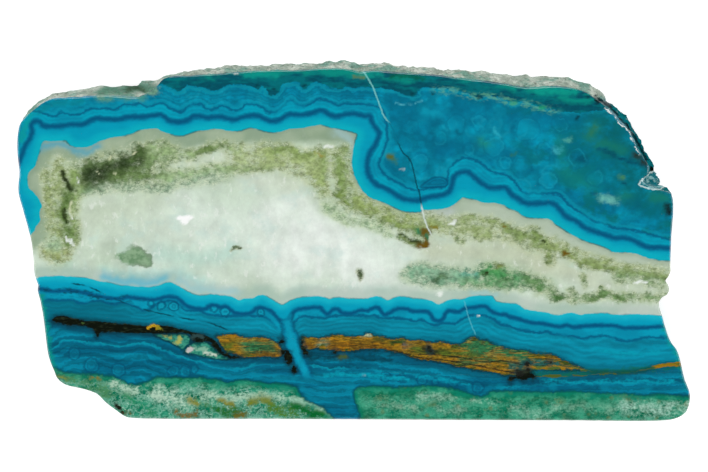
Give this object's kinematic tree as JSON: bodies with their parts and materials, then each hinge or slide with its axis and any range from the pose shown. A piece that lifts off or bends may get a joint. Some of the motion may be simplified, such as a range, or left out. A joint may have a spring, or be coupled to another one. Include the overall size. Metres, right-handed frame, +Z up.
{
  "type": "polished chrysocolla slab",
  "caption": "Flat polished slab of banded blue chrysocolla with a pale chalcedony core, a rough natural rind along one side and a sawn back that it lies on.",
  "frame": {"origin": "middle of the slab's box in X and Y, on the surface it lies on", "axes": "+X along the slab's length towards the notched end, +Y towards the natural rind, +Z up out of the polished face"},
  "size_m": [0.101, 0.0544, 0.0064],
  "materials": {
    "stone": "polished face, sawn back, rough rind"
  },
  "bodies": {
    "root": {"slab": "stone"}
  },
  "joints": []
}
